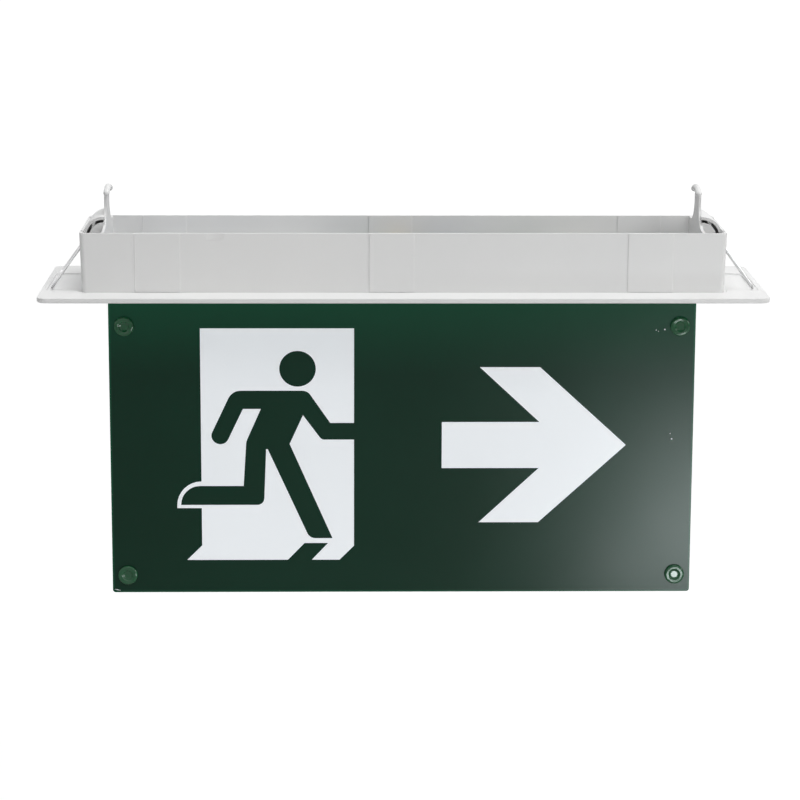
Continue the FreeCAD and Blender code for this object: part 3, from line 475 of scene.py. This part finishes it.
# rivets, light guide and light rail
rivetLook = {
    "colour": (0.001, 0.085, 0.026),
    "secondColour": (0.001, 0.070, 0.022),
    "roughness": (0.12, 0.18),
    "patchScale": 120.0,
    "grainScale": 3000.0,
    "grainStrength": 0.05,
    "grainDepth": 0.00003,
    "specular": 0.3,
    "coat": 0.25,
    "coatRoughness": 0.06,
}
guideLook = {
    "colour": (0.93, 0.965, 0.95),
    "secondColour": (0.90, 0.95, 0.93),
    "roughness": (0.03, 0.06),
    "patchScale": 25.0,
    "grainScale": 700.0,
    "grainStrength": 0.02,
    "grainDepth": 0.00002,
    "transmission": 0.9,
    "ior": 1.49,
}
railLook = {
    "colour": (0.50, 0.51, 0.52),
    "secondColour": (0.44, 0.45, 0.46),
    "roughness": (0.42, 0.52),
    "metallic": 1.0,
    "stretch": (1.0, 60.0, 60.0),  # drawn out along the extrusion
    "patchScale": 20.0,
    "grainScale": 260.0,
    "grainStrength": 0.25,
    "grainDepth": 0.00004,
    "edgeRadius": 0.0002,
}
rivetGreen = finishSurface("rivetGreen", rivetLook)
for rivets in ("front_rivets", "rear_rivets"):
    paint(rivets, rivetGreen)
paint("light_guide", finishSurface("clearAcrylic", guideLook))
paint("light_rail", finishSurface("railAluminium", railLook))
print("blade parts painted")


# plain gear inside the tray
plainGrain = {
    "patchScale": 180.0,
    "grainScale": 4200.0,
    "grainStrength": 0.15,
    "grainDepth": 0.00004,
}
plainLooks = {  # by node: finish, two colours, roughness range, metallic
    "led_board": ("whiteSolderMask", (0.84, 0.86, 0.82), (0.80, 0.82, 0.78), (0.29, 0.41), 0.0),
    "driver_module": ("driverCase", (0.66, 0.67, 0.66), (0.60, 0.61, 0.60), (0.43, 0.55), 0.0),
    "left_battery_clip": ("nylonClip", (0.70, 0.70, 0.66), (0.64, 0.64, 0.60), (0.37, 0.49), 0.0),
    "cord_clamp": ("clampNylon", (0.72, 0.72, 0.68), (0.66, 0.66, 0.62), (0.39, 0.51), 0.0),
    "terminal_block": ("terminalNylon", (0.78, 0.78, 0.74), (0.72, 0.72, 0.68), (0.35, 0.47), 0.0),
    "terminal_screws": ("terminalBrass", (0.60, 0.47, 0.24), (0.52, 0.40, 0.19), (0.25, 0.37), 1.0),
    "guide_screws": ("zincSteel", (0.55, 0.56, 0.57), (0.47, 0.48, 0.50), (0.27, 0.39), 1.0),
    "test_button": ("buttonSatin", (0.76, 0.76, 0.75), (0.73, 0.73, 0.72), (0.29, 0.41), 0.0),
    "button_bush": ("bushSatin", (0.62, 0.62, 0.61), (0.58, 0.58, 0.57), (0.33, 0.45), 0.0),
    "push_switch": ("switchBlack", (0.02, 0.02, 0.022), (0.03, 0.03, 0.03), (0.37, 0.49), 0.0),
    "right_bail_wire": ("springWire", (0.72, 0.72, 0.72), (0.60, 0.60, 0.61), (0.29, 0.41), 1.0),
    "right_spring_pin": ("groundPin", (0.60, 0.60, 0.61), (0.50, 0.50, 0.51), (0.19, 0.31), 1.0),
}
sameFinish = {  # nodes that share a finish with the one named first
    "left_battery_clip": ("right_battery_clip",),
    "guide_screws": ("driver_screws", "board_screws", "clamp_screws", "switch_screws"),
    "right_bail_wire": ("left_bail_wire", "right_spring_coils", "left_spring_coils", "button_spring"),
    "right_spring_pin": ("left_spring_pin",),
}


def paintPlainGear():
    for node, (name, colour, secondColour, roughness, metallic) in plainLooks.items():
        look = {"colour": colour, "secondColour": secondColour, "roughness": roughness, "metallic": metallic}
        finish = finishSurface(name, {**plainGrain, **look})
        for sharer in (node, *sameFinish.get(node, ())):
            paint(sharer, finish)


paintPlainGear()

# gear with a finish of its own
gearGrain = {
    "patchScale": 160.0,
    "grainScale": 3500.0,
    "grainStrength": 0.12,
    "grainDepth": 0.00004,
}

# three cells under one shrink sleeve, with dark joints between them and a pale label in the middle
batteryLook = {
    "colour": (0.012, 0.10, 0.30),
    "secondColour": (0.010, 0.08, 0.24),
    "roughness": (0.22, 0.31),
    "coat": 0.3,
    "jointColour": (0.006, 0.03, 0.10),
    "jointHalf": 0.0016,
    "labelColour": (0.70, 0.72, 0.70),
    "labelShare": 0.30,  # half width, as a share of one cell's length
    "cells": 3,
}


def batteryFinish(look):
    low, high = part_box("battery_pack")
    material = finishSurface("cellSleeve", {**gearGrain, **look})
    x = axisOf(material, objectPlace(material), "X")
    cell = (high.x - low.x) / look["cells"]
    for k in range(1, look["cells"]):
        colourWhere(material, nearTo(material, x, low.x + k * cell, look["jointHalf"]), look["jointColour"])
    label = nearTo(material, x, (low.x + high.x) / 2, cell * look["labelShare"])
    colourWhere(material, label, look["labelColour"])
    return material


paint("battery_pack", batteryFinish(batteryLook))

# green boards: soldermask with paler traces and small tinned pads
boardLook = {
    "colour": (0.010, 0.16, 0.055),
    "secondColour": (0.008, 0.13, 0.045),
    "roughness": (0.24, 0.33),
    "coat": 0.3,
    "traceColour": (0.02, 0.26, 0.09),
    "traceLength": 0.0085,
    "tracePitch": 0.0024,
    "traceWidth": 0.0003,
    "padColour": (0.62, 0.62, 0.58),
    "padScale": 190.0,
    "padScatter": 0.35,
    "padEdge": (0.16, 0.19),
}


def boardFinish(look):
    material = finishSurface("boardGreen", {**gearGrain, **look})
    traces = addNode(material, "ShaderNodeTexBrick", offset=0.5)
    traces.inputs["Scale"].default_value = 1.0
    traces.inputs["Brick Width"].default_value = look["traceLength"]
    traces.inputs["Row Height"].default_value = look["tracePitch"]
    traces.inputs["Mortar Size"].default_value = look["traceWidth"]
    traces.inputs["Color1"].default_value = black
    traces.inputs["Color2"].default_value = black
    traces.inputs["Mortar"].default_value = white
    join(material, objectPlace(material), traces.inputs["Vector"])
    colourWhere(material, traces.outputs["Color"], look["traceColour"])
    pads = addNode(material, "ShaderNodeTexVoronoi")
    pads.inputs["Scale"].default_value = look["padScale"]
    pads.inputs["Randomness"].default_value = look["padScatter"]
    join(material, objectPlace(material, (1, 1, 0)), pads.inputs["Vector"])
    padMask = remap(material, pads.outputs["Distance"], *look["padEdge"], 1.0, 0.0)
    colourWhere(material, padMask, look["padColour"])
    return material


boardGreen = boardFinish(boardLook)
for board in ("control_board", "switch_board"):
    paint(board, boardGreen)

# on the control board: a varnished core with tape round its middle, a relay, bare-topped capacitors
transformerLook = {
    "colour": (0.035, 0.034, 0.036),
    "secondColour": (0.055, 0.052, 0.05),
    "roughness": (0.32, 0.41),
    "tapeColour": (0.62, 0.42, 0.03),
    "tapeShare": 0.24,  # half width, as a share of the length
}
relayLook = {
    "colour": (0.015, 0.035, 0.12),
    "secondColour": (0.018, 0.045, 0.15),
    "roughness": (0.26, 0.35),
    "coat": 0.25,
}
capacitorLook = {
    "colour": (0.012, 0.016, 0.035),
    "secondColour": (0.016, 0.02, 0.045),
    "roughness": (0.24, 0.33),
    "coat": 0.3,
    "topColour": (0.6, 0.6, 0.6),
    "topEdge": (0.0006, 0.0004),  # depths below the top between which the sleeve ends
}


def transformerFinish(look):
    low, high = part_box("board_transformer")
    material = finishSurface("transformerCore", {**gearGrain, **look})
    x = axisOf(material, objectPlace(material), "X")
    tape = nearTo(material, x, (low.x + high.x) / 2, (high.x - low.x) * look["tapeShare"])
    colourWhere(material, tape, look["tapeColour"])
    return material


def capacitorFinish(look):
    low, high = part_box("board_capacitors")
    material = finishSurface("capacitorSleeve", {**gearGrain, **look})
    z = axisOf(material, objectPlace(material), "Z")
    start, full = look["topEdge"]
    colourWhere(material, remap(material, z, high.z - start, high.z - full, 0.0, 1.0), look["topColour"])
    return material


paint("board_transformer", transformerFinish(transformerLook))
paint("board_relay", finishSurface("relayCase", {**gearGrain, **relayLook}))
paint("board_capacitors", capacitorFinish(capacitorLook))

# light sources, and the charge indicator with its lens
ledLook = {
    "colour": (0.80, 0.66, 0.20),
    "secondColour": (0.84, 0.70, 0.24),
    "roughness": (0.26, 0.35),
    "coat": 0.5,
}
chargeLedLook = {
    "colour": (0.05, 0.52, 0.12),
    "secondColour": (0.05, 0.45, 0.10),
    "roughness": (0.06, 0.15),
    "transmission": 0.5,
}
chargeLensLook = {
    "colour": (0.90, 0.94, 0.92),
    "secondColour": (0.86, 0.91, 0.89),
    "roughness": (0.04, 0.13),
    "transmission": 0.85,
}
paint("leds", finishSurface("ledPhosphor", {**gearGrain, **ledLook}))
paint("charge_led", finishSurface("ledGreenEpoxy", {**gearGrain, **chargeLedLook}))
paint("charge_lens", finishSurface("lensClear", {**gearGrain, **chargeLensLook}))
print("gear painted")


# Floor, world and lamps. The floor and the world show white to the camera and through clear parts.
stageLook = {
    "floorDrop": 0.22,  # metres below the sign's lowest edge
    "floorSize": 60.0,
    "floorColour": (0.86, 0.86, 0.86),
    "floorShade": 0.995,  # the second tone, as a share of the first
    "floorPatchScale": 1.5,
    "floorRoughness": 0.9,
    "nearLift": 0.40,  # the floor's own light under the sign, where the lamps reach it
    "farLift": 0.78,
    "liftReach": (0.5, 3.0),  # metres out between which one lift turns into the other
    "mirrorShare": 0.25,  # how much of that light glossy surfaces show
    "worldStrength": 0.34,
}
lamps = {
    "keyLamp": {"place": (1.25, -1.35, 1.35), "size": 0.7, "power": 7.5, "colour": (1.0, 0.995, 0.985)},
    "sideLamp": {"place": (1.9, -0.5, 0.6), "size": 0.6, "power": 7.5, "colour": (1.0, 0.995, 0.985)},
    "topLamp": {"place": (0.15, -0.25, 1.7), "size": 1.2, "power": 17.5, "colour": (0.99, 0.995, 1.0)},
    "frontLamp": {"place": (-0.5, -2.0, 0.35), "size": 1.0, "power": 1.6, "colour": (1.0, 1.0, 1.0)},
}
# a slanted sheen on the glossy panel, which adds nothing to plain surfaces
sheenLook = {
    "place": (0.29, -0.65, -0.37),
    "slant": 25.8,
    "size": (0.24, 0.24),
    "power": 4.2,
    "colour": (0.92, 0.99, 1.0),
}


def seenDirectly(owner, mirrorShare):
    # 1 to the camera and through clear parts, and a share of that in mirrored rays
    rays = addNode(owner, "ShaderNodeLightPath")
    direct = maths(owner, "MAXIMUM", rays.outputs["Is Camera Ray"], rays.outputs["Is Transmission Ray"])
    mirrored = maths(owner, "MULTIPLY", rays.outputs["Is Glossy Ray"], mirrorShare)
    return maths(owner, "MAXIMUM", direct, mirrored)


def floorFinish(look):
    material = newMaterial("paleFloor")
    shader = shaderOf(material)
    shader.inputs["Roughness"].default_value = look["floorRoughness"]
    shader.inputs["Specular IOR Level"].default_value = 0.0
    soft = noise(material, objectPlace(material), look["floorPatchScale"])
    tone = remap(material, soft, *noiseSpan, 0.0, 1.0)
    pale = look["floorColour"]
    shaded = tuple(part * look["floorShade"] for part in pale)
    join(material, blend(material, tone, pale, shaded), shader.inputs["Base Color"])
    away = addNode(material, "ShaderNodeVectorMath", operation="LENGTH")
    join(material, objectPlace(material, (1, 1, 0)), away.inputs[0])
    lift = remap(material, away.outputs["Value"], *look["liftReach"], look["nearLift"], look["farLift"])
    seen = seenDirectly(material, look["mirrorShare"])
    glow = addNode(material, "ShaderNodeEmission")
    join(material, maths(material, "MULTIPLY", seen, lift), glow.inputs["Strength"])
    both = addNode(material, "ShaderNodeAddShader")
    join(material, shader.outputs["BSDF"], both.inputs[0])
    join(material, glow.outputs["Emission"], both.inputs[1])
    join(material, both.outputs["Shader"], material.node_tree.nodes["Material Output"].inputs["Surface"])
    return material


def addFloor(look):
    low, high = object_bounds()
    bpy.ops.object.select_all(action="DESELECT")
    bpy.ops.mesh.primitive_plane_add(size=look["floorSize"])
    floor = bpy.context.object
    floor.name = "floor"
    floor.data.transform(Matrix.Translation((0, 0, low.z - look["floorDrop"])))
    floor.data.materials.append(floorFinish(look))
    floor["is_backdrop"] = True


def setWorld(look):
    world = bpy.data.worlds.new("studio")
    world.use_nodes = True
    bpy.context.scene.world = world
    light = world.node_tree.nodes["Background"]
    light.inputs["Color"].default_value = white
    light.inputs["Strength"].default_value = look["worldStrength"]
    backdrop = addNode(world, "ShaderNodeBackground")
    backdrop.inputs["Color"].default_value = white
    backdrop.inputs["Strength"].default_value = 1.0
    mix = addNode(world, "ShaderNodeMixShader")
    join(world, seenDirectly(world, 1.0), mix.inputs["Fac"])
    join(world, light.outputs["Background"], mix.inputs[1])
    join(world, backdrop.outputs["Background"], mix.inputs[2])
    join(world, mix.outputs["Shader"], world.node_tree.nodes["World Output"].inputs["Surface"])


def areaLamp(name, look):
    bpy.ops.object.light_add(type="AREA", location=look["place"])
    lamp = bpy.context.object
    lamp.name = name
    lamp.data.energy = look["power"]
    lamp.data.color = look["colour"]
    return lamp


def addLamp(name, look):
    # a round lamp aimed at the origin
    lamp = areaLamp(name, look)
    lamp.rotation_euler = (-Vector(look["place"])).to_track_quat("-Z", "Y").to_euler()
    lamp.data.shape = "DISK"
    lamp.data.size = look["size"]


def addSheen(look):
    lamp = areaLamp("sheenLamp", look)
    lamp.rotation_euler = (math.radians(90), math.radians(look["slant"]), 0)
    lamp.data.shape = "RECTANGLE"
    lamp.data.size, lamp.data.size_y = look["size"]
    lamp.visible_diffuse = False
    lamp.visible_transmission = False


addFloor(stageLook)
setWorld(stageLook)
for lampName, lampLook in lamps.items():
    addLamp(lampName, lampLook)
addSheen(sheenLook)
bpy.context.scene.view_settings.view_transform = "Standard"
print("stage and lamps set")
